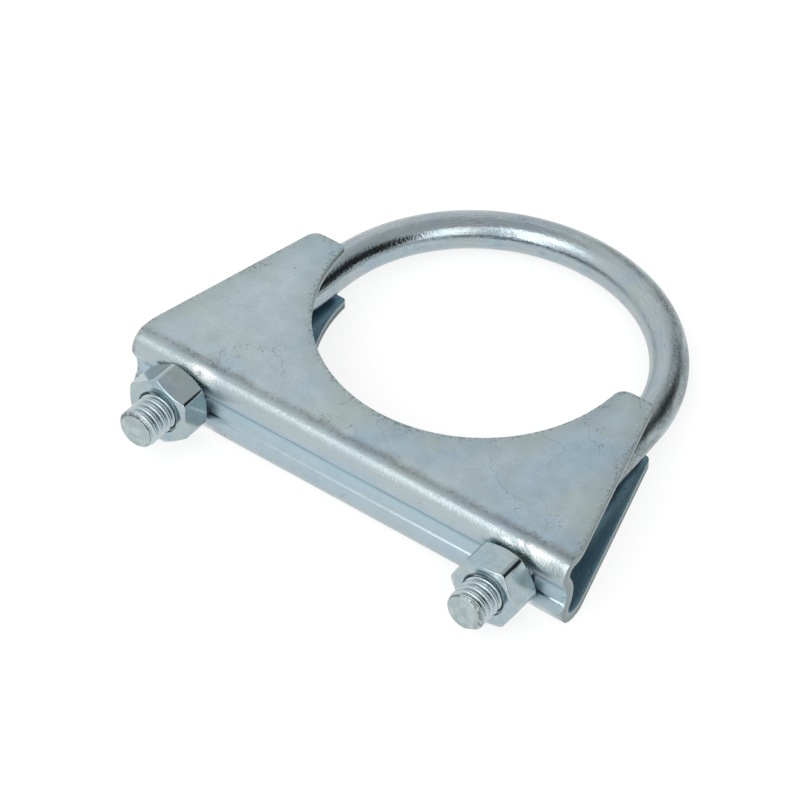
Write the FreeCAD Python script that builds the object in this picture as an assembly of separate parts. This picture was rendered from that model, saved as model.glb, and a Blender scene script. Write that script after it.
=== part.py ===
import FreeCAD, Part
import math
import os

# U-bolt pipe clamp for a 63 mm exhaust pipe: a threaded U-bolt, a pressed channel
# saddle and two hexagon nuts. X runs along the saddle, from the left nut to the right
# one. Y runs from the nuts to the top of the bow. Z is the axis of the pipe, and the
# origin is the middle of the pipe seat. The clamp lies on its lower cheek with the nuts
# run up by hand, so the loose bolt leans down a little between the cheeks.

# Pipe and saddle
PIPE_R = 31.5            # radius of the seat cut in both cheeks
SHEET = 2.0              # thickness of the saddle's steel
SADDLE_DEPTH = 16.0      # over the outer faces of the two cheeks
SADDLE_HALF_LENGTH = 48.7
CREST_Y = -43.0          # outer face of the two ridges that the nuts bear on
GROOVE_DEPTH = 1.3       # of the groove between the ridges
FOLD_MID_R = 2.5         # of the folds, at the middle of the sheet
HORN_END_Y = 0.0         # flat ends of the four horns
HORN_CORNER_X = 38.7     # outer corner of a horn's end
END_TOP_Y = -37.6        # where the straight end of the saddle meets its sloping side
LEFT_HORN_ROUNDS = (2.5, 0.6)      # outer corner and corner at the seat, as the worn die left them
RIGHT_HORN_ROUNDS = (1.2, 2.5)
SIDE_ROUND = 12.0        # where the sloping side turns into the straight end
BOLT_HOLE_R = 4.75

# U-bolt
ROD_R = 3.75             # plain rod
BOW_R = PIPE_R + ROD_R   # centre line of the bow
LEG_X = 37.0             # threaded legs, each side of the middle
LEG_END = 57.4           # from the centre of the bow to the end of a leg
BEND_START = 29.0        # where a leg starts to lean in towards the bow
BEND_R = 25.0            # centre line of that slight bend
LEAN_DEG = 3.2           # how far the loose bolt leans in the saddle
TWIST_DEG = 0.3          # how far it turns about its legs, right leg down
BOW_Y = 0.55             # centre of the bow, in the saddle's frame
BOW_Z = -1.95

# 5/16 in thread of 18 turns to the inch, rolled on the legs
THREAD_R = 3.95
THREAD_PITCH = 25.4 / 18
THREAD_DEPTH = 0.80
THREAD_LENGTH = 26.0
THREAD_ROOT = 0.24       # width of the flat at the bottom of the groove
THREAD_CREST = 0.18      # width of the flat at the top of the ridge
END_CHAMFER = 0.55
RUN_OUT = 0.35           # length of the cone from the thread down to the plain rod

# Nuts
NUT_FLATS = 13.0
NUT_HEIGHT = 6.75
NUT_BORE_R = 4.0         # plain bore, 0.05 mm clear of the thread's crests
NUT_MOUTH_R = 4.45
NUT_CHAMFER_DEG = 28.0
NUT_FACE_R = 6.1         # bearing face inside the corner chamfer
NUT_GAP = {"left": 0.45, "right": 1.0}       # from the upper ridge, as run up by hand
NUT_TURN_DEG = {"left": 96.5, "right": 122.5}

THROUGH = 100.0          # longer than anything that it cuts
SPARE = 0.1              # by which the thread's cutter stands out of the leg
TOUCHING = 0.01          # distance at which two points count as one
SPLAY_ROUNDS = 20        # rounds in which the splay of the legs settles


def vector(x, y, z):
    return FreeCAD.Vector(x, y, z)


def on_circle(centre, radius, degrees):
    """The point (y, z) at an angle round a circle in the cross-section plane."""
    angle = math.radians(degrees)
    return centre[0] + radius * math.cos(angle), centre[1] + radius * math.sin(angle)


def fold_centre():
    """Centre (y, z) of the upper fold, which is also level with the ridge's crest."""
    crest_mid = CREST_Y + SHEET / 2
    cheek_mid = (SADDLE_DEPTH - SHEET) / 2
    return crest_mid + FOLD_MID_R, cheek_mid - FOLD_MID_R


def groove_shape():
    """Turn of the sheet from ridge to groove in degrees, and the groove's middle radius."""
    height = fold_centre()[1]
    turn = 2 * math.atan(GROOVE_DEPTH / height)
    return math.degrees(turn), height / math.sin(turn) - FOLD_MID_R


def section_side(offset):
    """Edges of one face of the bent sheet in the YZ plane, from cheek to cheek.

    The offset is +1/2 of the sheet for the outer face and -1/2 for the inner one.
    """
    fold = fold_centre()
    turn, groove_r = groove_shape()
    groove = on_circle(fold, FOLD_MID_R + groove_r, 180 + turn)
    fold_r = FOLD_MID_R + offset
    cheek_z = (SADDLE_DEPTH - SHEET) / 2 + offset

    def point(pair, mirror=1):
        return vector(0, pair[0], mirror * pair[1])

    edges = []
    for mirror in (1, -1):
        start = on_circle(fold, fold_r, 90)
        middle = on_circle(fold, fold_r, 135 + turn / 2)
        end = on_circle(fold, fold_r, 180 + turn)
        horn_end = (PIPE_R, cheek_z)
        edges.append(Part.makeLine(point(horn_end, mirror), point(start, mirror)))
        edges.append(Part.Arc(point(start, mirror), point(middle, mirror),
                              point(end, mirror)).toShape())
    groove_ends = [on_circle(groove, groove_r - offset, side * turn) for side in (1, -1)]
    groove_floor = on_circle(groove, groove_r - offset, 0)
    edges.append(Part.Arc(point(groove_ends[0]), point(groove_floor),
                          point(groove_ends[1])).toShape())
    return edges


def bent_sheet():
    """The folded channel at its full length, before its outline is cut."""
    edges = section_side(SHEET / 2) + section_side(-SHEET / 2)
    for mirror in (1, -1):
        outer = vector(0, PIPE_R, mirror * SADDLE_DEPTH / 2)
        inner = vector(0, PIPE_R, mirror * (SADDLE_DEPTH / 2 - SHEET))
        edges.append(Part.makeLine(outer, inner))
    face = Part.Face(Part.Wire(Part.__sortEdges__(edges)))
    face.translate(vector(-SADDLE_HALF_LENGTH, 0, 0))
    return face.extrude(vector(2 * SADDLE_HALF_LENGTH, 0, 0))


def upright_edges_at(solid, x, y):
    """The edges along Z that stand on a corner of a plan."""
    found = []
    for edge in solid.Edges:
        ends = [vertex.Point for vertex in edge.Vertexes]
        upright = len(ends) == 2 and abs(ends[0].z - ends[1].z) > SADDLE_DEPTH
        if upright and (ends[0] - vector(x, y, ends[0].z)).Length < TOUCHING:
            found.append(edge)
    return found


def saddle_outline():
    """A tall prism of the saddle's plan: sloping sides, flat horn ends and the pipe seat."""
    half = [(SADDLE_HALF_LENGTH, 2 * CREST_Y), (SADDLE_HALF_LENGTH, END_TOP_Y),
            (HORN_CORNER_X, HORN_END_Y)]
    points = half + [(-x, y) for x, y in reversed(half)]
    corners = [vector(x, y, -THROUGH / 2) for x, y in points]
    prism = Part.Face(Part.makePolygon(corners + corners[:1])).extrude(vector(0, 0, THROUGH))
    seat = Part.makeCylinder(PIPE_R, THROUGH, vector(0, 0, -THROUGH / 2))
    prism = prism.cut(seat)
    seat_x = math.sqrt(PIPE_R ** 2 - HORN_END_Y ** 2)
    for side, (outer_round, seat_round) in ((-1, LEFT_HORN_ROUNDS), (1, RIGHT_HORN_ROUNDS)):
        rounds = [(seat_round, seat_x, HORN_END_Y), (outer_round, HORN_CORNER_X, HORN_END_Y),
                  (SIDE_ROUND, SADDLE_HALF_LENGTH, END_TOP_Y)]
        for radius, x, y in rounds:
            prism = prism.makeFillet(radius, upright_edges_at(prism, side * x, y))
    return prism


def make_saddle():
    saddle = bent_sheet().common(saddle_outline())
    for side in (-1, 1):
        start = vector(side * LEG_X, 2 * CREST_Y, 0)
        hole = Part.makeCylinder(BOLT_HOLE_R, 2 * abs(CREST_Y), start, vector(0, 1, 0))
        saddle = saddle.cut(hole)
    return saddle


def lean(shape):
    """Take a shape from the bolt's own plane to where the bolt lies in the saddle."""
    tilt = FreeCAD.Rotation(vector(1, 0, 0), -LEAN_DEG)
    twist = FreeCAD.Rotation(vector(0, 1, 0), TWIST_DEG)
    turn = tilt.multiply(twist)
    shape.Placement = FreeCAD.Placement(vector(0, BOW_Y, BOW_Z), turn).multiply(shape.Placement)
    return shape


def leg_splay():
    """Angle in radians of the leg's sloping stretch, tangent to the bow."""
    splay = 0.0
    for _ in range(SPLAY_ROUNDS):
        bow_end_x, bow_end_y = BOW_R * math.cos(splay), BOW_R * math.sin(splay)
        splay = math.atan2(LEG_X - bow_end_x, BEND_START + bow_end_y)
    return splay


def rod_path():
    """Centre line between the two threads: leg, slight bend, slope, bow, and the same again."""
    splay = leg_splay()
    bow_end = vector(BOW_R * math.cos(splay), BOW_R * math.sin(splay), 0)
    corner = vector(LEG_X, -BEND_START, 0)
    tangent = BEND_R * math.tan(splay / 2)
    slope = (bow_end - corner).normalize()
    bend_start = corner - vector(0, tangent, 0)
    bend_end = corner + slope * tangent
    bend_centre = bend_start - vector(BEND_R, 0, 0)
    bend_mid = bend_centre + vector(BEND_R * math.cos(splay / 2), BEND_R * math.sin(splay / 2), 0)
    leg_start = vector(LEG_X, THREAD_LENGTH - LEG_END, 0)

    def flip(point):
        return vector(-point.x, point.y, point.z)

    right = [Part.makeLine(leg_start, bend_start),
             Part.Arc(bend_start, bend_mid, bend_end).toShape(),
             Part.makeLine(bend_end, bow_end)]
    left = [Part.makeLine(flip(bow_end), flip(bend_end)),
            Part.Arc(flip(bend_end), flip(bend_mid), flip(bend_start)).toShape(),
            Part.makeLine(flip(bend_start), flip(leg_start))]
    bow = Part.Arc(bow_end, vector(0, BOW_R, 0), flip(bow_end)).toShape()
    return Part.Wire(right + [bow] + left)


def make_threaded_end():
    """One threaded leg end along +Z, its free end at the origin."""
    points = [(0, 0), (THREAD_R - END_CHAMFER, 0), (THREAD_R, END_CHAMFER),
              (THREAD_R, THREAD_LENGTH - RUN_OUT), (ROD_R, THREAD_LENGTH), (0, THREAD_LENGTH)]
    corners = [vector(r, 0, z) for r, z in points]
    blank = Part.Face(Part.makePolygon(corners + corners[:1]))
    blank = blank.revolve(vector(0, 0, 0), vector(0, 0, 1), 360)

    root = THREAD_ROOT / 2
    mouth = (THREAD_PITCH - THREAD_CREST) / 2
    flare = (mouth - root) / THREAD_DEPTH
    mouth += SPARE * flare
    helix = Part.makeLongHelix(THREAD_PITCH, THREAD_LENGTH - RUN_OUT, THREAD_R)
    groove = [vector(THREAD_R + SPARE, 0, -mouth), vector(THREAD_R + SPARE, 0, mouth),
              vector(THREAD_R - THREAD_DEPTH, 0, root), vector(THREAD_R - THREAD_DEPTH, 0, -root)]
    cutter = Part.Wire(helix.Edges).makePipeShell([Part.makePolygon(groove + groove[:1])],
                                                 True, True)
    cutter.translate(vector(0, 0, -THREAD_PITCH))
    return blank.cut(cutter)


def make_u_bolt():
    path = rod_path()
    start = path.Edges[0].firstVertex().Point
    circle = Part.Wire(Part.makeCircle(ROD_R, start, vector(0, 1, 0)))
    bolt = path.makePipeShell([circle], True, False)
    for side in (-1, 1):
        end = make_threaded_end()
        end.Placement = FreeCAD.Placement(vector(side * LEG_X, -LEG_END, 0),
                                          FreeCAD.Rotation(vector(1, 0, 0), -90))
        bolt = bolt.fuse(end)
    return lean(bolt)


def nut_seat():
    """Where the back of a seated nut stands along the leg, from the centre of the bow."""
    tilt = math.radians(LEAN_DEG)
    fold_y, fold_z = fold_centre()
    along = (fold_y - BOW_Y) * math.cos(tilt) - (fold_z - BOW_Z) * math.sin(tilt)
    return along - FOLD_MID_R - SHEET / 2


def make_nut(side):
    """A double-chamfered hexagon nut on its leg, its bearing face towards the saddle."""
    corner_r = NUT_FLATS / math.sqrt(3)
    corners = []
    for step in range(7):
        angle = math.radians(NUT_TURN_DEG[side] + 60 * step)
        corners.append(vector(corner_r * math.cos(angle), -corner_r * math.sin(angle), 0))
    hexagon = Part.Face(Part.makePolygon(corners)).extrude(vector(0, 0, NUT_HEIGHT))

    drop = (corner_r - NUT_FACE_R) * math.tan(math.radians(NUT_CHAMFER_DEG))
    mouth_depth = NUT_MOUTH_R - NUT_BORE_R
    profile = [(NUT_MOUTH_R, 0), (NUT_FACE_R, 0), (corner_r, drop), (corner_r, NUT_HEIGHT - drop),
               (NUT_FACE_R, NUT_HEIGHT), (NUT_MOUTH_R, NUT_HEIGHT),
               (NUT_BORE_R, NUT_HEIGHT - mouth_depth), (NUT_BORE_R, mouth_depth)]
    turned = [vector(r, 0, z) for r, z in profile]
    ring = Part.Face(Part.makePolygon(turned + turned[:1]))
    ring = ring.revolve(vector(0, 0, 0), vector(0, 0, 1), 360)
    nut = hexagon.common(ring)

    sign = -1 if side == "left" else 1
    front = nut_seat() - NUT_GAP[side] - NUT_HEIGHT
    nut.Placement = FreeCAD.Placement(vector(sign * LEG_X, front, 0),
                                      FreeCAD.Rotation(vector(1, 0, 0), -90))
    return lean(nut)


def main():
    os.makedirs("parts", exist_ok=True)
    pieces = {"saddle": make_saddle(), "u_bolt": make_u_bolt(),
              "nut_left": make_nut("left"), "nut_right": make_nut("right")}
    for name, shape in pieces.items():
        solid = shape.Solids[0]
        solid.exportStep("parts/" + name + ".step")
        box = solid.BoundBox
        print(name, len(shape.Solids), "solid, valid", shape.isValid(),
              "volume %.1f" % solid.Volume,
              "x %.2f %.2f y %.2f %.2f z %.2f %.2f" % (box.XMin, box.XMax, box.YMin, box.YMax,
                                                      box.ZMin, box.ZMax))


main()
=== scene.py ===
import math

import bmesh
import bpy
from mathutils import Euler, Matrix, Vector, bvhtree, kdtree, noise


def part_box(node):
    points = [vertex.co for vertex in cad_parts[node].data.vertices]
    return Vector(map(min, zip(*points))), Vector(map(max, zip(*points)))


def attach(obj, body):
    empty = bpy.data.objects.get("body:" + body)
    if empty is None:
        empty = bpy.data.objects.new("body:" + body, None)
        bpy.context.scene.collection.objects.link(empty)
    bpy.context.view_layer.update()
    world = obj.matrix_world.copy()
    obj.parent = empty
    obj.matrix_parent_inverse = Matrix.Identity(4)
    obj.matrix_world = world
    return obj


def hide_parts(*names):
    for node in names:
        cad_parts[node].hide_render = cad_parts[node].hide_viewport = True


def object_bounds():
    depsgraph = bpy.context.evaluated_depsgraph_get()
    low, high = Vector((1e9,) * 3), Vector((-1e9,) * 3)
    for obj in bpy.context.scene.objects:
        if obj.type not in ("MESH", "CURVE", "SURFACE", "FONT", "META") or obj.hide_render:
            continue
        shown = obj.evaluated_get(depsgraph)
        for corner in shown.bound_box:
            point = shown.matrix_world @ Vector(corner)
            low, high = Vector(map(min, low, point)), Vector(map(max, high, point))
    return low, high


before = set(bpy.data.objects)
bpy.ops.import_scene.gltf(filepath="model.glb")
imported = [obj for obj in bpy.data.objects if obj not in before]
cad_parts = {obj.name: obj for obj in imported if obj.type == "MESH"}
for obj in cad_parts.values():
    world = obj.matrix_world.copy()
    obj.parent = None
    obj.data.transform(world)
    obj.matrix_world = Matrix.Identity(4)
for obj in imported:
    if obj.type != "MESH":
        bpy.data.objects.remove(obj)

cad_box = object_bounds()
MM = 0.001

# ---------------------------------------------------------------- camera
# A long lens looks down on the clamp from its front right corner, over the right nut.
# Its place is kept as an azimuth and an elevation round a point near the pipe seat.
view_azimuth = math.radians(36.29)
view_elevation = math.radians(45.54)
view_roll = math.radians(0.22)
view_distance = 742.9 * MM
view_target = Vector((-4.10, -19.73, -0.73)) * MM

lens = bpy.data.cameras.new("long_lens")
lens.sensor_width = 36.0
lens.lens = 180.7
lens.clip_start = 0.05
camera = bpy.data.objects.new("camera", lens)
turn = Euler((math.pi / 2 - view_elevation, 0, view_azimuth)).to_matrix()
turn = turn @ Matrix.Rotation(view_roll, 3, "Z")
stand = view_target + turn @ Vector((0, 0, view_distance))
camera.matrix_world = Matrix.Translation(stand) @ turn.to_4x4()
bpy.context.scene.collection.objects.link(camera)
bpy.context.scene.camera = camera
bpy.context.scene.view_settings.view_transform = "Standard"

# ---------------------------------------------------------------- saddle
# The saddle is one blank of 2 mm steel sheet, sheared to its outline with the pipe seat
# and two bolt holes punched in it, then pressed into a channel with a groove along its
# back. It is zinc plated and dipped in a clear blue passivate after it is bent.
saddle_low, saddle_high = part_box("saddle")
half_length = saddle_high.x
half_depth = saddle_high.z
crest_y = saddle_low.y
horn_end_y = saddle_high.y
sheet = 2.0 * MM
pipe_r = 31.5 * MM
fold_r = 3.5 * MM
groove_depth = 1.3 * MM
horn_corner_x = 38.7 * MM
left_horn_rounds = 2.5 * MM, 0.6 * MM      # outer corner, corner at the seat
right_horn_rounds = 1.2 * MM, 2.5 * MM
side_top_y = -37.6 * MM
side_round = 12.0 * MM
hole_x = 37.0 * MM
hole_r = 4.75 * MM
hole_margin = 1.1 * MM       # the mesh's rows make way this far round a hole
sheared_round = 0.3 * MM
wave_height = 0.05 * MM      # the cheeks are uneven by this much, in waves of this length
wave_length = 9.0 * MM
crease_z = -2.2 * MM         # crisp upper edge of the lower ridge
crease_height = 0.12 * MM
crease_width = 0.09 * MM
crease_reach = 0.9 * MM

fold_y = crest_y + fold_r
fold_z = half_depth - fold_r
groove_turn = 2 * math.atan(groove_depth / fold_z)
groove_r = fold_z / math.sin(groove_turn) - fold_r
groove_y = fold_y - (fold_r + groove_r) * math.cos(groove_turn)
groove_half = groove_r * math.sin(groove_turn)


def back_y(z):
    """Y of the channel's outer face at a height between its two folds."""
    if abs(z) < groove_half:
        return groove_y + math.sqrt(groove_r ** 2 - z ** 2)
    return fold_y - math.sqrt(max(fold_r ** 2 - (abs(z) - fold_z) ** 2, 0))


def arc(centre, radius, start, end, steps):
    """Points round part of a circle, both ends included, angles in degrees."""
    points = []
    for step in range(steps + 1):
        angle = math.radians(start + (end - start) * step / steps)
        points.append(centre + radius * Vector((math.cos(angle), math.sin(angle))))
    return points


def round_corner(before, corner, after, radius, steps):
    """The arc that rounds a corner of an outline."""
    into = (corner - before).normalized()
    out = (after - corner).normalized()
    bend = into.angle_signed(out)
    reach = radius * math.tan(abs(bend) / 2)
    side = 1 if bend < 0 else -1
    centre = corner - into * reach + side * radius * Vector((-into.y, into.x))
    start = corner - into * reach - centre
    return [centre + Matrix.Rotation(-bend * step / steps, 2) @ start for step in range(steps + 1)]


def spread(points, count):
    """The same outline with a given number of points at even spacing."""
    gaps = [(b - a).length for a, b in zip(points, points[1:])]
    total = sum(gaps)
    placed = []
    index, walked = 0, 0.0
    for step in range(count):
        wanted = total * step / (count - 1)
        while index < len(gaps) - 1 and walked + gaps[index] < wanted:
            walked += gaps[index]
            index += 1
        placed.append(points[index].lerp(points[index + 1], (wanted - walked) / gaps[index]))
    return placed


# The cheek's plan: the seat on the inside, the sheared side and the fold on the outside
side_points, back_points = 60, 55
seat_split = -40.0       # degrees round the seat that face the corner of the fold
seat_lead = 0.1          # radians round the seat that give its direction at the horn
seat_centre = Vector((0, 0))


def cheek_half(outer_round, seat_round):
    """Inner and outer line of the right half of a cheek, from its horn to the middle."""
    seat_end = Vector((math.sqrt(pipe_r ** 2 - horn_end_y ** 2), horn_end_y))
    seat_below = pipe_r * Vector((math.cos(seat_lead), -math.sin(seat_lead)))
    horn_corner = Vector((horn_corner_x, horn_end_y))
    horn_middle = (seat_end + horn_corner) / 2
    side_corner = Vector((half_length, side_top_y))
    fold_corner = Vector((half_length, fold_y))
    inner = round_corner(horn_middle, seat_end, seat_below, seat_round, steps=6)
    seat_start = math.degrees(math.atan2(inner[-1].y, inner[-1].x))
    inner += arc(seat_centre, pipe_r, seat_start, seat_split, steps=40)
    inner = spread(inner, side_points)
    inner += arc(seat_centre, pipe_r, seat_split, -90, back_points)[1:]
    outer = round_corner(horn_middle, horn_corner, side_corner, outer_round, steps=8)
    outer += round_corner(horn_corner, side_corner, fold_corner, side_round, steps=10)
    outer = spread(outer + [fold_corner], side_points)
    for step in range(1, back_points + 1):
        outer.append(Vector((half_length * (1 - step / back_points), fold_y)))
    return inner, outer


inner_line, outer_line = cheek_half(*right_horn_rounds)
for line, left_line in zip((inner_line, outer_line), cheek_half(*left_horn_rounds)):
    line += [Vector((-p.x, p.y)) for p in reversed(left_line[:-1])]

# Rows of the back between the folds, set closer together across the crease
fold_steps, groove_steps = 14, 16
crease_rows = 5          # on either side of the crease
row_gap = crease_width / 2
crease_space = (crease_rows + 1) * row_gap
groove_heights = [groove_half * (1 - 2 * step / groove_steps) for step in range(1, groove_steps)]
groove_heights = [z for z in groove_heights if abs(z - crease_z) > crease_space]
groove_heights += [crease_z + step * row_gap for step in range(-crease_rows, crease_rows + 1)]
groove_heights.sort(reverse=True)

# The blank's outer face: two cheeks and, where the folds run, the back between them
cheek_rows = 18
blank = bmesh.new()
columns = []
for inner, outer in zip(inner_line, outer_line):
    column = {}
    for cheek in (1, -1):
        column[cheek] = []
        for row in range(cheek_rows + 1):
            place = inner.lerp(outer, row / cheek_rows)
            column[cheek].append(blank.verts.new((place.x, place.y, cheek * half_depth)))
    columns.append(column)
back_columns = columns[side_points - 1:side_points + 2 * back_points]
for column in back_columns:
    x = column[1][-1].co.x
    back = []
    for step in range(1, fold_steps + 1):
        angle = math.pi / 2 + (math.pi / 2 + groove_turn) * step / fold_steps
        back.append((fold_y + fold_r * math.cos(angle), fold_z + fold_r * math.sin(angle)))
    lower_fold = [(y, -z) for y, z in reversed(back)]
    back += [(back_y(z), z) for z in groove_heights]
    back += lower_fold
    column["back"] = [column[1][-1]]
    column["back"] += [blank.verts.new((x, y, z)) for y, z in back[:-1]]
    column["back"].append(column[-1][-1])
for left, right in zip(columns, columns[1:]):
    for row in range(cheek_rows):
        blank.faces.new((left[1][row], right[1][row], right[1][row + 1], left[1][row + 1]))
        blank.faces.new((left[-1][row + 1], right[-1][row + 1], right[-1][row], left[-1][row]))
for left, right in zip(back_columns, back_columns[1:]):
    for upper in range(len(left["back"]) - 1):
        blank.faces.new((left["back"][upper], right["back"][upper],
                         right["back"][upper + 1], left["back"][upper + 1]))


def near_hole(point, side, reach):
    """True for a point of the back in a square round the bolt hole on one side."""
    return point.y < fold_y and abs(point.x - side * hole_x) < reach and abs(point.z) < reach


# Each bolt hole takes the place of a window of the back's faces, joined to it by one ring
window = hole_r + hole_margin
for side in (-1, 1):
    opened = [face for face in blank.faces if near_hole(face.calc_center_median(), side, window)]
    bmesh.ops.delete(blank, geom=opened, context="FACES_KEEP_BOUNDARY")
    edges = []
    for edge in blank.edges:
        middle = (edge.verts[0].co + edge.verts[1].co) / 2
        if edge.is_boundary and near_hole(middle, side, window + MM):
            edges.append(edge)
    rim = dict.fromkeys(vert for edge in edges for vert in edge.verts)
    for vert in rim:
        angle = math.atan2(vert.co.z, vert.co.x - side * hole_x)
        z = hole_r * math.sin(angle)
        rim[vert] = blank.verts.new((side * hole_x + hole_r * math.cos(angle), back_y(z), z))
    for edge in edges:
        loop = edge.link_loops[0]
        a, b = loop.vert, loop.link_loop_next.vert
        blank.faces.new((b, a, rim[a], rim[b]))
bmesh.ops.recalc_face_normals(blank, faces=blank.faces[:])
if sum(face.normal.z for face in blank.faces if face.calc_center_median().z > 0) < 0:
    bmesh.ops.reverse_faces(blank, faces=blank.faces[:])
for vert in blank.verts:
    swell = 0.5 + 0.5 * noise.noise(vert.co / wave_length)
    inwards = -1 if vert.co.z > 0 else 1
    if vert.co.y > fold_y:
        vert.co.z += inwards * wave_height * swell
outer_skin = bvhtree.BVHTree.FromBMesh(blank)
saddle_mesh = bpy.data.meshes.new("saddle_blank")
blank.to_mesh(saddle_mesh)
blank.free()

saddle_rough = bpy.data.objects.new("pressed_saddle", saddle_mesh)
bpy.context.scene.collection.objects.link(saddle_rough)
thickness = saddle_rough.modifiers.new("thickness", "SOLIDIFY")
thickness.thickness = sheet
thickness.offset = -1
thickness.use_even_offset = True
thickness.use_quality_normals = True
thickness.material_offset_rim = 1
rounding = saddle_rough.modifiers.new("sheared_edges", "BEVEL")
rounding.width = sheared_round
rounding.segments = 3
rounding.limit_method = "ANGLE"
rounding.angle_limit = math.radians(50)


def plug(tree, socket, value):
    """Link a socket to the one that feeds it, or set its value."""
    if isinstance(value, bpy.types.NodeSocket):
        tree.links.new(value, socket)
    else:
        socket.default_value = value


def add(tree, kind, settings=None, **values):
    """A shader or geometry node with its settings and its inputs, of which i0 is the first."""
    node = tree.nodes.new(kind)
    for name, value in (settings or {}).items():
        setattr(node, name, value)
    for name, value in values.items():
        numbered = name[0] == "i" and name[1:].isdigit()
        plug(tree, node.inputs[int(name[1:]) if numbered else name], value)
    return node


def maths(tree, operation, *values, clamp=False):
    """The result of one step of arithmetic."""
    node = add(tree, "ShaderNodeMath", {"operation": operation, "use_clamp": clamp})
    for socket, value in zip(node.inputs, values):
        plug(tree, socket, value)
    return node.outputs[0]


def multiply(tree, a, b):
    return maths(tree, "MULTIPLY", a, b)


def remap(tree, value, low, high, to_low=0.0, to_high=1.0):
    """A value stretched evenly from one range to another and held at its ends."""
    return add(tree, "ShaderNodeMapRange", i0=value, i1=low, i2=high, i3=to_low, i4=to_high).outputs[0]


def ramp(tree, value, start, end):
    """A smooth mask that goes from 0 to 1 between two values."""
    return add(tree, "ShaderNodeMapRange", {"interpolation_type": "SMOOTHSTEP"}, i0=value, i1=start,
               i2=end).outputs[0]


def hump(tree, value, start, middle, end):
    """A smooth mask that goes up from 0 to 1 at a middle value and back to 0."""
    return multiply(tree, ramp(tree, value, start, middle), ramp(tree, value, end, middle))


def cloud(tree, place, size, detail, roughness=0.5):
    """Noise round 0.5 in lumps of a given size in metres."""
    scale = maths(tree, "DIVIDE", 1.0, size) if isinstance(size, bpy.types.NodeSocket) else 1 / size
    return add(tree, "ShaderNodeTexNoise", Vector=place, Scale=scale, Detail=detail,
               Roughness=roughness).outputs[0]


def blotches(tree, place, size, low, high, detail=2.0):
    """A mask from 0 to 1 of patches of a given size, sharper the closer low and high are."""
    return ramp(tree, cloud(tree, place, size, detail), low, high)


def blend_colour(tree, share, a, b):
    return add(tree, "ShaderNodeMix", {"data_type": "RGBA"}, i0=share, i6=a, i7=b).outputs[2]


def new_group(name, takes, gives):
    """A shader node group, the values that it takes and the sockets for what it gives."""
    group = bpy.data.node_groups.new(name, "ShaderNodeTree")
    for label, kind, value in takes:
        socket = group.interface.new_socket(label, in_out="INPUT", socket_type="NodeSocket" + kind)
        if value is not None:
            socket.default_value = value
    for label, kind in gives:
        group.interface.new_socket(label, in_out="OUTPUT", socket_type="NodeSocket" + kind)
    taken = group.nodes.new("NodeGroupInput").outputs
    given = group.nodes.new("NodeGroupOutput").inputs
    return group, taken, given


# Passivate film: patches of blue and of green over the bare tone of the zinc
film, taken, given = new_group("passivate_film", [
    ("Vector", "Vector", None), ("Patch Size", "Float", 12 * MM), ("Zinc", "Color", (0.5, 0.56, 0.6, 1)),
    ("Blue", "Color", (0.42, 0.54, 0.62, 1)), ("Green", "Color", (0.5, 0.57, 0.54, 1))],
    [("Color", "Color"), ("Cloud", "Float")])
blue_cloud = cloud(film, taken["Vector"], taken["Patch Size"], 3.0)
turned = add(film, "ShaderNodeMapping", Vector=taken["Vector"], Rotation=(0.7, 0.4, 1.1),
             Location=(0.37, 0.11, 0.53)).outputs[0]
green_cloud = cloud(film, turned, taken["Patch Size"], 4.0)
tone = blend_colour(film, remap(film, blue_cloud, 0.42, 0.62), taken["Zinc"], taken["Blue"])
tone = blend_colour(film, remap(film, green_cloud, 0.46, 0.66), tone, taken["Green"])
plug(film, given["Color"], tone)
plug(film, given["Cloud"], blue_cloud)

# Handling marks: small dark chips, thick near an edge, and thin lines that wander
marks, taken, given = new_group("handling_marks", [
    ("Vector", "Vector", None), ("Chip Size", "Float", 0.5 * MM), ("Chips", "Float", 0.5),
    ("Edge", "Float", 0.0), ("Line Size", "Float", 12 * MM), ("Line Width", "Float", 0.006)],
    [("Chip Mask", "Float"), ("Line Mask", "Float")])
specks = cloud(marks, taken["Vector"], taken["Chip Size"], 2.0, 0.6)
patches = multiply(marks, blotches(marks, taken["Vector"], 9 * MM, 0.52, 0.72), 0.6)
near = maths(marks, "MULTIPLY_ADD", taken["Edge"], 0.75, patches, clamp=True)
limit = remap(marks, multiply(marks, near, taken["Chips"]), 0.0, 1.0, 0.72, 0.5)
chips = remap(marks, maths(marks, "SUBTRACT", specks, limit), -0.02, 0.12)
plug(marks, given["Chip Mask"], chips)
waves = cloud(marks, taken["Vector"], taken["Line Size"], 4.0)
slanted = add(marks, "ShaderNodeVectorMath", {"operation": "DOT_PRODUCT"}, i0=taken["Vector"],
              i1=(0.75, 0.65, 0.4)).outputs["Value"]
slanted = multiply(marks, slanted, maths(marks, "DIVIDE", 1.0, taken["Line Size"]))
field = maths(marks, "FRACT", maths(marks, "MULTIPLY_ADD", waves, 2.4, slanted))
away = maths(marks, "ABSOLUTE", maths(marks, "SUBTRACT", field, 0.5))
lines = remap(marks, away, 0.0, taken["Line Width"], 1.0, 0.0)
some = blotches(marks, taken["Vector"], 11 * MM, 0.44, 0.54)
plug(marks, given["Line Mask"], multiply(marks, lines, some))

# Drawn grain: streaks in the direction the metal was rolled or drawn, as a value round 0.5
grain, taken, given = new_group("drawn_grain", [
    ("Vector", "Vector", None), ("Across", "Float", 0.3 * MM), ("Along", "Float", 12 * MM)],
    [("Streak", "Float")])
thin = maths(grain, "DIVIDE", 1.0, taken["Across"])
long = maths(grain, "DIVIDE", 1.0, taken["Along"])
squeeze = add(grain, "ShaderNodeCombineXYZ", i0=long, i1=thin, i2=thin).outputs[0]
drawn = add(grain, "ShaderNodeMapping", Vector=taken["Vector"], Scale=squeeze).outputs[0]
plug(grain, given["Streak"], cloud(grain, drawn, 1.0, 3.0))


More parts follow.
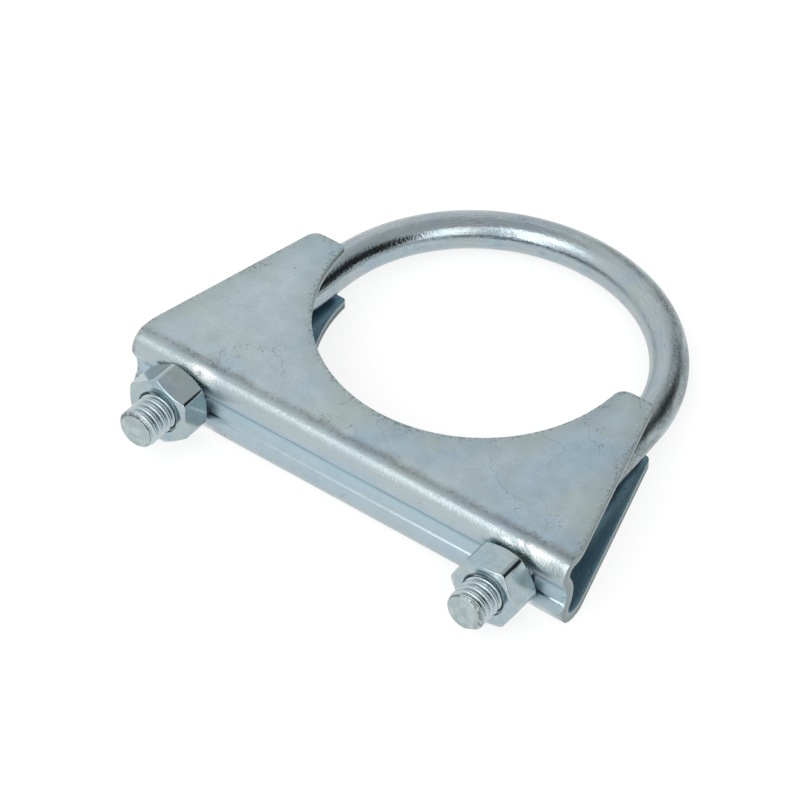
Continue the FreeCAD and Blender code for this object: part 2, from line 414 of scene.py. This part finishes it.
def use_group(tree, group, **values):
    """What a group gives for these inputs, an underscore in a name standing for a space."""
    node = add(tree, "ShaderNodeGroup", {"node_tree": group})
    for name, value in values.items():
        plug(tree, node.inputs[name.replace("_", " ")], value)
    return node.outputs


def new_finish(name):
    """An empty material with its shader, and the place on the piece that its patterns read."""
    material = bpy.data.materials.new(name)
    material.use_nodes = True
    tree = material.node_tree
    place = add(tree, "ShaderNodeTexCoord").outputs["Object"]
    return material, tree, tree.nodes["Principled BSDF"], place


def stored(tree, name):
    """A measure that is stored on the piece's mesh."""
    return add(tree, "ShaderNodeAttribute", {"attribute_name": name}).outputs["Fac"]


def shaded(tree, tone, factor):
    """A tone made lighter or darker by a factor round 1."""
    return add(tree, "ShaderNodeVectorMath", {"operation": "SCALE"}, i0=tone, Scale=factor).outputs[0]


def layered(tree, tone, layers):
    """A tone with colours laid over it in turn, each through a mask and at a strength."""
    for mask, strength, colour in layers:
        tone = blend_colour(tree, multiply(tree, mask, strength), tone, colour)
    return tone


def changed(tree, value, changes):
    """A value with more or less of it where each mask lies."""
    for mask, change in changes:
        value = maths(tree, "MULTIPLY_ADD", mask, change, value)
    return value


def relief(tree, shader, *heights):
    """Bump from pairs of a height mask and its depth in metres."""
    normal = None
    for height, depth in heights:
        bump = add(tree, "ShaderNodeBump", Strength=1.0, Height=height, Distance=depth)
        if normal is not None:
            plug(tree, bump.inputs["Normal"], normal)
        normal = bump.outputs[0]
    plug(tree, shader.inputs["Normal"], normal)


def plate(tree, shader, tone, roughness):
    """Make a shader metal, in a tone and a roughness that change over the surface."""
    plug(tree, shader.inputs["Base Color"], tone)
    plug(tree, shader.inputs["Roughness"], roughness)
    shader.inputs["Metallic"].default_value = 1.0


# Pressed face of the sheet: satin zinc with a dark line where each fold starts, partly scuffs
# and partly a painted dark reflection, and burnished, grainy ridges with a painted highlight
# beside each nut. The groove keeps a bluer film and is painted pale where it is steep, to
# lighten a dark reflection there; its crease is polished, and the channel's inside is painted
# darker and bluer as shade.
chip_reach, rim_reach = 2.2 * MM, 5.5 * MM           # how far in from a sheared edge
back_edge, back_start = fold_y - 0.9 * MM, fold_y - 2.0 * MM
dark_fold_band = fold_y - 0.9 * MM, fold_y + 0.45 * MM, fold_y + 2.1 * MM
groove_band = crease_z, 0.8 * MM, 3.4 * MM
steep_band = 1.5 * MM, groove_half, 3.8 * MM
crease_band = crease_z - 0.3 * MM, crease_z, crease_z + 0.3 * MM
# Where along the ridge the painted highlight lies, beside the left and the right nut
glint_left_band = -37 * MM, -33 * MM, -28 * MM
glint_right_band = 31 * MM, 38 * MM, 50 * MM
face_zinc, tree, shader, place = new_finish("pressed_zinc_face")
at_x, at_y, at_z = add(tree, "ShaderNodeSeparateXYZ", i0=place).outputs
edge_gap = stored(tree, "edge_gap")
wander = cloud(tree, place, 3 * MM, 3.0)
grit = cloud(tree, place, 0.5 * MM, 4.0, 0.65)
# Painted shade: the sheet's inner faces, inside the channel, are coloured darker and bluer
painted_shade_inside = ramp(tree, stored(tree, "depth_in"), 0.7 * sheet, 0.95 * sheet)
on_back = ramp(tree, at_y, back_edge, back_start)
from_middle = maths(tree, "ABSOLUTE", at_z)
on_ridge = multiply(tree, on_back, ramp(tree, from_middle, fold_z - 0.5 * MM, fold_z + 0.8 * MM))
in_groove = multiply(tree, on_back, hump(tree, at_z, *groove_band))
# Painted light: the steep part of the groove is coloured pale over a dark reflection there
painted_light_on_steep = multiply(tree, on_back, hump(tree, at_z, *steep_band))
on_crease = multiply(tree, on_back, hump(tree, at_z, *crease_band))
wander_y = maths(tree, "MULTIPLY_ADD", wander, 1.6 * MM, at_y)
fold_start = hump(tree, wander_y, *dark_fold_band)
near_edge = ramp(tree, edge_gap, chip_reach, 0.0)
worn = maths(tree, "MAXIMUM", near_edge, multiply(tree, fold_start, 0.8))
coat = use_group(tree, film, Vector=place, Patch_Size=13 * MM, Zinc=(0.42, 0.505, 0.54, 1),
                 Blue=(0.37, 0.49, 0.575, 1), Green=(0.425, 0.505, 0.51, 1))
marked = use_group(tree, marks, Vector=place, Chip_Size=0.6 * MM, Chips=1.15, Edge=worn,
                   Line_Size=9 * MM, Line_Width=0.014)
streaks = use_group(tree, grain, Vector=place, Across=0.35 * MM, Along=9 * MM)["Streak"]

rim_wear = multiply(tree, ramp(tree, edge_gap, rim_reach, sheared_round), ramp(tree, grit, 0.25, 0.7))
# Painted dark reflection in a band where each fold starts, broken up by scuffs
scuffs_and_painted_reflection = multiply(tree, fold_start, ramp(tree, grit, 0.2, 0.6))
scuffs_and_painted_reflection = multiply(tree, scuffs_and_painted_reflection, remap(tree, coat["Cloud"], 0.35, 0.6, 0.4, 0.72))
# Painted highlight: near-white patches on the ridge beside each nut
beside_left = hump(tree, at_x, *glint_left_band)
beside_right = hump(tree, at_x, *glint_right_band)
painted_glint = multiply(tree, maths(tree, "MAXIMUM", beside_right, beside_left), on_ridge)
painted_glint = multiply(tree, painted_glint, ramp(tree, wander, 0.35, 0.5))
hairline = multiply(tree, marked["Line Mask"], ramp(tree, at_y, fold_y, fold_y + 2 * MM))
cloudy = remap(tree, wander, 0.3, 0.7, 0.93, 1.06)
gritty = remap(tree, grit, 0.3, 0.7, 0.93, 1.07)
tone = layered(tree, shaded(tree, coat["Color"], multiply(tree, cloudy, gritty)), [
    (rim_wear, 0.7, (0.315, 0.375, 0.36, 1)),
    (on_back, 0.5, (0.39, 0.485, 0.55, 1)),
    (on_ridge, 0.6, (0.425, 0.48, 0.475, 1)),
    (scuffs_and_painted_reflection, 1.0, (0.19, 0.205, 0.20, 1)),
    (in_groove, 0.7, (0.40, 0.56, 0.63, 1)),
    (painted_light_on_steep, 0.65, (0.72, 0.78, 0.79, 1)),
    (painted_glint, 0.9, (0.86, 0.88, 0.87, 1)),
    (painted_shade_inside, 0.9, (0.27, 0.43, 0.52, 1)),
    (hairline, 0.75, (0.14, 0.18, 0.20, 1)),
    (marked["Chip Mask"], 0.55, (0.17, 0.18, 0.18, 1))])
satin = changed(tree, remap(tree, coat["Cloud"], 0.3, 0.7, 0.27, 0.36), [
    (marked["Chip Mask"], 0.2), (on_ridge, -0.07), (on_crease, -0.16), (painted_light_on_steep, 0.2)])
plate(tree, shader, tone, satin)
crystals = cloud(tree, place, 0.25 * MM, 3.0)
off_crease = multiply(tree, on_back, maths(tree, "SUBTRACT", 1.0, on_crease))
relief(tree, shader, (multiply(tree, crystals, off_crease), 0.008 * MM),
       (multiply(tree, streaks, off_crease), 0.02 * MM),
       (multiply(tree, grit, on_ridge), 0.08 * MM), (marked["Chip Mask"], -0.02 * MM))

# Sheared edge of the sheet: a rolled-over lip, a dark line where the cut turned to a tear,
# and a paler torn strip below it
edge_zinc, tree, shader, place = new_finish("sheared_zinc_edge")
tears = cloud(tree, place, 0.6 * MM, 4.0)
wavy = maths(tree, "MULTIPLY_ADD", tears, 0.7 * MM, stored(tree, "depth_in"))
at_y = add(tree, "ShaderNodeSeparateXYZ", i0=place).outputs["Y"]
cut_line = hump(tree, wavy, 0.5 * MM, 1.05 * MM, 1.6 * MM)
cut_line = multiply(tree, cut_line, ramp(tree, at_y, fold_y, fold_y + 4 * MM))
torn = ramp(tree, wavy, 1.5 * MM, 1.9 * MM)
tone = layered(tree, blend_colour(tree, tears, (0.15, 0.19, 0.195, 1), (0.36, 0.43, 0.435, 1)), [
    (torn, 0.4, (0.40, 0.47, 0.47, 1)),
    (cut_line, 0.92, (0.07, 0.08, 0.08, 1))])
plate(tree, shader, tone, remap(tree, tears, 0.3, 0.7, 0.38, 0.55))
relief(tree, shader, (tears, 0.06 * MM))


def finished(rough):
    """The evaluated shape of an object as a plain mesh object of the same name."""
    graph = bpy.context.evaluated_depsgraph_get()
    mesh = bpy.data.meshes.new_from_object(rough.evaluated_get(graph))
    name = rough.name
    bpy.data.objects.remove(rough)
    mesh.name = name
    piece = bpy.data.objects.new(name, mesh)
    bpy.context.scene.collection.objects.link(piece)
    return piece


# The finished sheet stores how far each point is from a sheared edge and from the outer
# face, and the crease is raised on its outer face only
saddle_mesh.materials.append(face_zinc)
saddle_mesh.materials.append(edge_zinc)
saddle = finished(saddle_rough)
saddle.data.shade_smooth()
edge_verts = set()
for polygon in saddle.data.polygons:
    if polygon.material_index == 1:
        edge_verts.update(polygon.vertices)
sheared_edges = kdtree.KDTree(len(edge_verts))
for index in edge_verts:
    sheared_edges.insert(saddle.data.vertices[index].co, index)
sheared_edges.balance()
gap = saddle.data.attributes.new("edge_gap", "FLOAT", "POINT")
depth = saddle.data.attributes.new("depth_in", "FLOAT", "POINT")
for vert in saddle.data.vertices:
    gap.data[vert.index].value = sheared_edges.find(vert.co)[2]
    skin_gap = outer_skin.find_nearest(vert.co)[3]
    depth.data[vert.index].value = skin_gap
    if vert.co.y < fold_y and skin_gap < sheared_round:
        off = vert.co.z - crease_z
        crease = math.tanh(off / crease_width) * math.exp(-(off / crease_reach) ** 2)
        vert.co.y += crease_height * crease * (1 - skin_gap / sheared_round)
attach(saddle, "saddle")
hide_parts("saddle")

# ---------------------------------------------------------------- U-bolt
# The U-bolt is 7.5 mm round steel wire with a 5/16 in thread rolled on both ends, which
# are then cropped and chamfered, and bent round a former. It is zinc plated after bending,
# and its two legs pass through the saddle's holes with play all round.
rod_r = 3.75 * MM
bow_r = pipe_r + rod_r
leg_x = 37.0 * MM
leg_end = 57.4 * MM
bend_start = 29.0 * MM
bend_r = 25.0 * MM
thread_r = 3.95 * MM
thread_pitch = 25.4 / 18 * MM
thread_depth = 0.74 * MM
thread_length = 26.0 * MM
crest_half, root_start = 0.06, 0.42      # of the pitch, from the middle of a crest
thread_shoulder = 0.4 * MM
end_chamfer = 0.55 * MM
end_dome = 0.05 * MM
rod_sides = 64
weld_gap = 0.0005 * MM
lean = math.radians(3.2)
twist = math.radians(0.3)
bow_centre = Vector((0, 0.55, -1.95)) * MM
bolt_turn = Matrix.Rotation(-lean, 4, "X") @ Matrix.Rotation(twist, 4, "Y")
bolt_place = Matrix.Translation(bow_centre) @ bolt_turn

# The angle at which the legs leave the bow, found by stepping towards it
splay = 0.0
for step in range(20):
    splay = math.atan2(leg_x - bow_r * math.cos(splay), bend_start + bow_r * math.sin(splay))
bow_end = bow_r * Vector((math.cos(splay), math.sin(splay)))
bend_corner = Vector((leg_x, -bend_start))
bend_reach = bend_r * math.tan(splay / 2)
bend_centre = bend_corner - Vector((bend_r, bend_reach))

# The right half of the rod's centre line, from the cropped end to the top of the bow
thread_steps = 16        # rings of the mesh in one pitch
dome_steps = 4
rings = int(thread_length / thread_pitch * thread_steps)
half_line = []
for ring in range(dome_steps + 1):
    rise = end_dome * (1 - math.cos(math.pi / 2 * ring / dome_steps))
    half_line.append(Vector((leg_x, rise - leg_end)))
for ring in range(1, rings + 1):
    walked = end_dome + (thread_length - end_dome) * ring / rings
    half_line.append(Vector((leg_x, walked - leg_end)))
thread_stop = Vector((leg_x, thread_length - leg_end))
half_line += spread([thread_stop, bend_corner - Vector((0, bend_reach))], count=8)[1:-1]
half_line += arc(bend_centre, bend_r, 0, math.degrees(splay), steps=6)
half_line += spread([half_line[-1], bow_end], count=40)[1:-1]
half_line += arc(Vector((0, 0)), bow_r, math.degrees(splay), 90, steps=90)
full_line = half_line + [Vector((-p.x, p.y)) for p in reversed(half_line[:-1])]
line_mesh = bpy.data.meshes.new("rod_line")
line_mesh.from_pydata([bolt_place @ Vector((p.x, p.y, 0)) for p in full_line],
                      [(i, i + 1) for i in range(len(full_line) - 1)], [])

# The tree sweeps the rod along its line and rolls the thread in at both ends. It stores how
# far each point is from the nearer end, and where it would be if the rod were straight.
bender = bpy.data.node_groups.new("roll_and_bend_rod", "GeometryNodeTree")
for label, kind in (("Centre Line", "Geometry"), ("Rod Radius", "Float"), ("Thread Radius", "Float"),
                    ("Thread Depth", "Float"), ("Pitch", "Float"), ("Thread Length", "Float"),
                    ("Chamfer", "Float"), ("Dome", "Float"), ("Sides", "Int"), ("Finish", "Material")):
    bender.interface.new_socket(label, in_out="INPUT", socket_type="NodeSocket" + kind)
bender.interface.new_socket("Rod", in_out="OUTPUT", socket_type="NodeSocketGeometry")
size = bender.nodes.new("NodeGroupInput").outputs


def less(a, b):
    return maths(bender, "SUBTRACT", a, b)


def vectors(operation, **values):
    """The result of one step of arithmetic on vectors."""
    return add(bender, "ShaderNodeVectorMath", {"operation": operation}, **values).outputs[0]


curve = add(bender, "GeometryNodeMeshToCurve", i0=size["Centre Line"]).outputs[0]
keep_centre = add(bender, "GeometryNodeCaptureAttribute")
keep_centre.capture_items.new("VECTOR", "Centre")
keep_centre.capture_items.new("FLOAT", "Walked")
keep_centre.capture_items.new("FLOAT", "Full")
plug(bender, keep_centre.inputs[0], curve)
plug(bender, keep_centre.inputs[1], add(bender, "GeometryNodeInputPosition").outputs[0])
plug(bender, keep_centre.inputs[2], add(bender, "GeometryNodeSplineParameter").outputs["Length"])
plug(bender, keep_centre.inputs[3], add(bender, "GeometryNodeSplineLength").outputs[0])
section = add(bender, "GeometryNodeCurvePrimitiveCircle", Resolution=size["Sides"], Radius=size["Rod Radius"])
keep_turn = add(bender, "GeometryNodeCaptureAttribute")
keep_turn.capture_items.new("FLOAT", "Turn")
plug(bender, keep_turn.inputs[0], section.outputs[0])
plug(bender, keep_turn.inputs[1], add(bender, "GeometryNodeSplineParameter").outputs["Factor"])
tube = add(bender, "GeometryNodeCurveToMesh", i0=keep_centre.outputs[0], i1=keep_turn.outputs[0])
centre, walked, full = keep_centre.outputs[1], keep_centre.outputs[2], keep_centre.outputs[3]
from_end = maths(bender, "MINIMUM", walked, less(full, walked))

turns = maths(bender, "DIVIDE", walked, size["Pitch"])
phase = maths(bender, "FRACT", less(turns, keep_turn.outputs[1]))
off_crest = maths(bender, "ABSOLUTE", less(phase, 0.5))
groove = ramp(bender, off_crest, crest_half, root_start)
to_go = less(size["Thread Length"], from_end)
fade = remap(bender, to_go, 0.0, size["Pitch"])
bare = remap(bender, to_go, 0.0, thread_shoulder, size["Rod Radius"], size["Thread Radius"])
cut = multiply(bender, multiply(bender, groove, fade), size["Thread Depth"])
face_r = less(size["Thread Radius"], size["Chamfer"])
cone = maths(bender, "ADD", face_r, less(from_end, size["Dome"]))
inwards = maths(bender, "DIVIDE", less(size["Dome"], from_end), size["Dome"], clamp=True)
domed = maths(bender, "SQRT", less(1.0, multiply(bender, inwards, inwards)))
past_face = maths(bender, "GREATER_THAN", from_end, size["Dome"])
end_r = add(bender, "ShaderNodeMix", {"data_type": "FLOAT"}, i0=past_face,
            i2=multiply(bender, domed, face_r), i3=cone).outputs[0]
radius = maths(bender, "MINIMUM", less(bare, cut), end_r)
outward = vectors("SUBTRACT", i0=add(bender, "GeometryNodeInputPosition").outputs[0], i1=centre)
outward = vectors("SCALE", i0=vectors("NORMALIZE", i0=outward), Scale=radius)
moved = add(bender, "GeometryNodeSetPosition", Geometry=tube.outputs[0],
            Position=vectors("ADD", i0=centre, i1=outward))

along = add(bender, "GeometryNodeStoreNamedAttribute", {"data_type": "FLOAT", "domain": "POINT"},
            Geometry=moved.outputs[0], Name="from_end", Value=from_end)
angle = multiply(bender, keep_turn.outputs[1], 2 * math.pi)
across = multiply(bender, maths(bender, "COSINE", angle), size["Rod Radius"])
upright = multiply(bender, maths(bender, "SINE", angle), size["Rod Radius"])
straight = add(bender, "ShaderNodeCombineXYZ", i0=walked, i1=across, i2=upright).outputs[0]
unbent = add(bender, "GeometryNodeStoreNamedAttribute", {"data_type": "FLOAT_VECTOR", "domain": "POINT"},
             Geometry=along.outputs[0], Name="unbent", Value=straight)
closed = add(bender, "GeometryNodeMergeByDistance", Geometry=unbent.outputs[0], Distance=weld_gap)
smooth = add(bender, "GeometryNodeSetShadeSmooth", Geometry=closed.outputs[0])
real = add(bender, "GeometryNodeRealizeInstances", Geometry=smooth.outputs[0])
dressed = add(bender, "GeometryNodeSetMaterial", Geometry=real.outputs[0], Material=size["Finish"])
plug(bender, bender.nodes.new("NodeGroupOutput").inputs[0], dressed.outputs[0])

# Drawn wire, plated: bright to satin with fine dark lines drawn along it, duller on the right
# of the bow and darkened on its outer side by scuffs and a painted dark reflection, most on the
# right, with a paler thread and a chipped dark ring round each end
bolt_zinc, tree, shader, place = new_finish("plated_bolt_zinc")
at_x, at_y, at_z = add(tree, "ShaderNodeSeparateXYZ", i0=place).outputs
unbent = add(tree, "ShaderNodeAttribute", {"attribute_name": "unbent"}).outputs["Vector"]
end_gap = stored(tree, "from_end")
on_face = ramp(tree, end_gap, 0.5 * MM, 0.05 * MM)
on_rim = hump(tree, end_gap, 0.03 * MM, 0.3 * MM, 0.9 * MM)
on_chamfer = hump(tree, end_gap, 0.05 * MM, 0.35 * MM, 0.8 * MM)
on_thread = ramp(tree, end_gap, thread_length, thread_length - MM)
off_thread = ramp(tree, end_gap, thread_length, thread_length + 5 * MM)
on_right = ramp(tree, at_x, -12 * MM, 22 * MM)
flat_place = add(tree, "ShaderNodeCombineXYZ", i0=at_x, i1=at_y).outputs[0]
from_axis = add(tree, "ShaderNodeVectorMath", {"operation": "LENGTH"}, i0=flat_place).outputs["Value"]
outside = ramp(tree, from_axis, bow_r - 0.5 * MM, bow_r + 2 * MM)
coat = use_group(tree, film, Vector=place, Patch_Size=9 * MM, Zinc=(0.41, 0.465, 0.49, 1),
                 Blue=(0.36, 0.45, 0.50, 1), Green=(0.40, 0.465, 0.46, 1))
marked = use_group(tree, marks, Vector=place, Chip_Size=0.4 * MM, Chips=1.0, Edge=on_chamfer,
                   Line_Size=6 * MM, Line_Width=0.014)
streaks = use_group(tree, grain, Vector=unbent, Across=0.35 * MM, Along=5 * MM)["Streak"]

scratched = multiply(tree, ramp(tree, streaks, 0.57, 0.66), blotches(tree, unbent, 8 * MM, 0.42, 0.6))
drawn_out = add(tree, "ShaderNodeMapping", Vector=unbent, Scale=(0.3, 1, 1)).outputs[0]
smudge = blotches(tree, drawn_out, 2.6 * MM, 0.37, 0.57, 5.0)
fine_smudge = blotches(tree, unbent, 0.5 * MM, 0.28, 0.58, 4.0)
# Scuffs and a painted dark reflection on the bow's outer side, strongest on the right
scuffs_and_painted_reflection = multiply(tree, outside, remap(tree, on_right, 0.0, 1.0, 0.4, 1.0))
scuffs_and_painted_reflection = multiply(tree, scuffs_and_painted_reflection, multiply(tree, smudge, fine_smudge))
scuffs_and_painted_reflection = multiply(tree, scuffs_and_painted_reflection, off_thread)
face_tone = blend_colour(tree, blotches(tree, place, 1.6 * MM, 0.35, 0.65, 4.0), (0.36, 0.43, 0.44, 1),
                         (0.48, 0.56, 0.57, 1))
chipped = multiply(tree, on_rim, blotches(tree, place, 0.7 * MM, 0.36, 0.54, 4.0))
streaky = remap(tree, streaks, 0.3, 0.7, 0.88, 1.08)
tone = layered(tree, shaded(tree, coat["Color"], streaky), [
    (scratched, 0.5, (0.17, 0.19, 0.19, 1)),
    (on_thread, 0.8, (0.50, 0.585, 0.61, 1)),
    (scuffs_and_painted_reflection, 0.85, (0.14, 0.17, 0.17, 1)),
    (marked["Line Mask"], 0.4, (0.22, 0.26, 0.28, 1)),
    (on_face, 0.9, face_tone),
    (chipped, 0.85, (0.13, 0.14, 0.13, 1)),
    (marked["Chip Mask"], 0.75, (0.13, 0.14, 0.13, 1))])
satin = changed(tree, remap(tree, coat["Cloud"], 0.3, 0.7, 0.10, 0.17), [
    (on_face, 0.2), (on_thread, 0.15), (multiply(tree, on_right, off_thread), 0.16)])
plate(tree, shader, tone, satin)
crystals = cloud(tree, place, 0.5 * MM, 3.0, 0.6)
relief(tree, shader, (crystals, 0.06 * MM), (streaks, 0.012 * MM), (marked["Chip Mask"], -0.02 * MM))

bolt_rough = bpy.data.objects.new("bent_u_bolt", line_mesh)
bpy.context.scene.collection.objects.link(bolt_rough)
rolling = bolt_rough.modifiers.new("roll_and_bend", "NODES")
rolling.node_group = bender
bolt_sizes = {"Rod Radius": rod_r, "Thread Radius": thread_r, "Thread Depth": thread_depth,
              "Pitch": thread_pitch, "Thread Length": thread_length, "Chamfer": end_chamfer,
              "Dome": end_dome, "Sides": rod_sides, "Finish": bolt_zinc}
for item in bender.interface.items_tree:
    if item.in_out == "INPUT" and item.name in bolt_sizes:
        rolling[item.identifier] = bolt_sizes[item.name]
u_bolt = finished(bolt_rough)
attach(u_bolt, "u_bolt")
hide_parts("u_bolt")

# ---------------------------------------------------------------- nuts
# Two plain 5/16 in nuts, cold formed from bar: hexagons chamfered on both faces, with a
# countersink at each mouth and a tapped bore. They are bright plated and run up by hand
# until they all but touch the ridges of the saddle.
nut_flats = 13.0 * MM
nut_height = 6.75 * MM
nut_bore_r = 4.03 * MM
nut_mouth_r = 4.5 * MM
nut_tap_depth = 0.35 * MM
tap_fade = 0.3 * MM
nut_face_r = 6.1 * MM
nut_chamfer = math.radians(28)
nut_corner_round = 1.3 * MM
nut_edge_round = 0.11 * MM
nut_turn = {"nut_left": 96.5, "nut_right": 122.5}      # degrees from X to a corner
around = 288
tap_steps = 14           # rings of the mesh in one pitch

# Bright zinc, a little mottled, with few and small chips
nut_zinc, tree, shader, place = new_finish("bright_nut_zinc")
coat = use_group(tree, film, Vector=place, Patch_Size=5 * MM, Zinc=(0.395, 0.47, 0.50, 1),
                 Blue=(0.35, 0.465, 0.51, 1), Green=(0.40, 0.475, 0.475, 1))
marked = use_group(tree, marks, Vector=place, Chip_Size=0.3 * MM, Chips=0.75, Edge=0.0,
                   Line_Size=6 * MM, Line_Width=0.014)
mottled = remap(tree, cloud(tree, place, 1.2 * MM, 4.0), 0.3, 0.7, 0.92, 1.07)
tone = layered(tree, shaded(tree, coat["Color"], mottled), [
    (marked["Chip Mask"], 0.6, (0.2, 0.21, 0.2, 1))])
plate(tree, shader, tone, remap(tree, coat["Cloud"], 0.3, 0.7, 0.10, 0.18))
relief(tree, shader, (cloud(tree, place, 0.5 * MM, 2.0), 0.004 * MM))


def hexagon_r(angle):
    """Radius of the rounded hexagon at an angle from one of its corners."""
    third = math.pi / 3
    from_flat = abs((angle % third) - third / 2)
    flat_r = nut_flats / 2
    corner_centre = (flat_r - nut_corner_round) / math.cos(third / 2)
    off_corner = third / 2 - from_flat
    if corner_centre * math.sin(off_corner) > nut_corner_round * math.sin(third / 2 - off_corner):
        return flat_r / math.cos(from_flat)
    reach = corner_centre * math.cos(off_corner)
    return reach + math.sqrt(nut_corner_round ** 2 - (corner_centre * math.sin(off_corner)) ** 2)


def nut_profile(angle):
    """Radius and height of a nut's skin at one angle: over its outside, then back down its bore."""
    side_r = hexagon_r(angle)
    drop = (side_r - nut_face_r) * math.tan(nut_chamfer)
    slope = Vector((math.cos(nut_chamfer), math.sin(nut_chamfer))) * nut_edge_round
    mouth_depth = nut_mouth_r - nut_bore_r
    # One end of the nut: two points on either side of each edge round it off
    end = []
    for step in (-3, -1):
        end.append((nut_mouth_r + step * nut_edge_round / 2, -step * nut_edge_round / 2))
    for step in (1, 3):
        end.append((nut_mouth_r + step * nut_edge_round / 2, 0))
    for step in (2, 1):
        end.append((nut_face_r - step * nut_edge_round, 0))
    for step in (1, 2):
        end.append((nut_face_r + step * slope.x, step * slope.y))
    for step in (2, 1):
        end.append((side_r - step * slope.x, drop - step * slope.y))
    for step in (1, 2):
        end.append((side_r, drop + step * nut_edge_round))
    skin = end + [(side_r, nut_height / 2)] + [(r, nut_height - z) for r, z in reversed(end)]
    tapped = nut_height - 2 * mouth_depth
    steps = int(tapped / thread_pitch * tap_steps)
    for step in range(steps + 1):
        walked = tapped * step / steps
        z = nut_height - mouth_depth - walked
        phase = z / thread_pitch + angle / (2 * math.pi)
        fade = min(walked / tap_fade, (tapped - walked) / tap_fade, 1)
        skin.append((nut_bore_r + nut_tap_depth * fade * (0.5 - 0.5 * math.cos(2 * math.pi * phase)), z))
    return skin


leg_axes = bolt_turn.to_3x3()
axis = leg_axes @ Vector((0, 1, 0))
for name in ("nut_left", "nut_right"):
    low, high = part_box(name)
    middle = (low + high) / 2
    nut = bmesh.new()
    slices = []
    for step in range(around):
        angle = 2 * math.pi * step / around
        from_x = math.radians(nut_turn[name]) + angle
        outward = leg_axes @ Vector((math.cos(from_x), 0, math.sin(from_x)))
        skin = nut_profile(angle)
        slices.append([nut.verts.new(middle + outward * r + axis * (z - nut_height / 2)) for r, z in skin])
    for a, b in zip(slices, slices[1:] + slices[:1]):
        for i in range(len(a)):
            j = (i + 1) % len(a)
            nut.faces.new((a[i], a[j], b[j], b[i]))
    bmesh.ops.recalc_face_normals(nut, faces=nut.faces[:])
    mesh = bpy.data.meshes.new("hex_" + name)
    nut.to_mesh(mesh)
    nut.free()
    mesh.shade_smooth()
    mesh.materials.append(nut_zinc)
    piece = bpy.data.objects.new("hex_" + name, mesh)
    bpy.context.scene.collection.objects.link(piece)
    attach(piece, name)
    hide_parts(name)

# ---------------------------------------------------------------- floor and light
# A white paper floor, lit by two soft lamps in front, high and low, and one on the right.
# A dark board stands on the right and a grey one behind, and another hangs overhead, where
# only the metal's reflections see them.
floor_half = 3.0
floor_gap = 0.02 * MM
paper_glow = 0.74        # seen directly and in reflections, and lights nothing
studio_light, studio_seen = 0.75, 1.0


def rectangle(name, wide, high, z=0.0):
    """A flat rectangle in the XY plane, round the origin."""
    mesh = bpy.data.meshes.new(name)
    corners = [(x * wide / 2, y * high / 2, z) for x, y in ((-1, -1), (1, -1), (1, 1), (-1, 1))]
    mesh.from_pydata(corners, [], [(0, 1, 2, 3)])
    return bpy.data.objects.new(name, mesh)


def seen_directly(tree):
    """1 on rays that look, or that metal and glass pass on, and 0 on rays that light things."""
    path = add(tree, "ShaderNodeLightPath").outputs
    rays = maths(tree, "MAXIMUM", path["Is Camera Ray"], path["Is Glossy Ray"])
    return maths(tree, "MAXIMUM", rays, path["Is Transmission Ray"])


floor = rectangle("floor", 2 * floor_half, 2 * floor_half, cad_box[0][2] - floor_gap)
bpy.context.scene.collection.objects.link(floor)
paper, tree, shader, place = new_finish("white_paper")
shader.inputs["Base Color"].default_value = (0.35, 0.35, 0.35, 1)
shader.inputs["Roughness"].default_value = 1.0
shader.inputs["Specular IOR Level"].default_value = 0.0
shader.inputs["Emission Color"].default_value = (1, 1, 1, 1)
plug(tree, shader.inputs["Emission Strength"], multiply(tree, seen_directly(tree), paper_glow))
floor.data.materials.append(paper)

world = bpy.data.worlds.new("studio")
world.use_nodes = True
bpy.context.scene.world = world
tree = world.node_tree
background = tree.nodes["Background"]
background.inputs["Color"].default_value = (1, 1, 1, 1)
level = remap(tree, seen_directly(tree), 0.0, 1.0, studio_light, studio_seen)
plug(tree, background.inputs["Strength"], level)


def facing_clamp(thing, azimuth, elevation, distance):
    """Stand a lamp or a board at an angle round the clamp, its face towards it."""
    turn = Euler((math.pi / 2 - math.radians(elevation), 0, math.radians(azimuth))).to_matrix()
    thing.matrix_world = Matrix.Translation(turn @ Vector((0, 0, distance))) @ turn.to_4x4()
    bpy.context.scene.collection.objects.link(thing)


def board(name, wide, high, grey, **stand):
    """A board of one grey that only reflections see."""
    paint, tree, shader, place = new_finish(name)
    shader.inputs["Base Color"].default_value = (0, 0, 0, 1)
    shader.inputs["Specular IOR Level"].default_value = 0.0
    shader.inputs["Emission Color"].default_value = (grey, grey, grey, 1)
    shader.inputs["Emission Strength"].default_value = 1.0
    thing = rectangle(name, wide, high)
    thing.data.materials.append(paint)
    facing_clamp(thing, **stand)
    thing.visible_camera = False
    thing.visible_diffuse = False
    thing.visible_shadow = False


board("dark_board_right", wide=2.0, high=0.85, grey=0.03, azimuth=128, elevation=28, distance=1.1)
board("grey_board_behind", wide=0.7, high=1.3, grey=0.72, azimuth=188, elevation=30, distance=1.3)
board("grey_board_above", wide=1.15, high=1.15, grey=0.64, azimuth=130, elevation=76, distance=1.0)


def softbox(name, wide, high, power, **stand):
    """A soft rectangular lamp."""
    light = bpy.data.lights.new(name, "AREA")
    light.shape = "RECTANGLE"
    light.size = wide
    light.size_y = high
    light.energy = power
    facing_clamp(bpy.data.objects.new(name, light), **stand)


softbox("softbox_front_high", wide=0.8, high=0.6, power=2.8, azimuth=-6, elevation=50, distance=1.2)
softbox("softbox_front_low", wide=0.45, high=0.6, power=1.5, azimuth=7, elevation=22, distance=1.2)
softbox("softbox_right", wide=0.5, high=0.85, power=1.8, azimuth=62, elevation=30, distance=1.2)
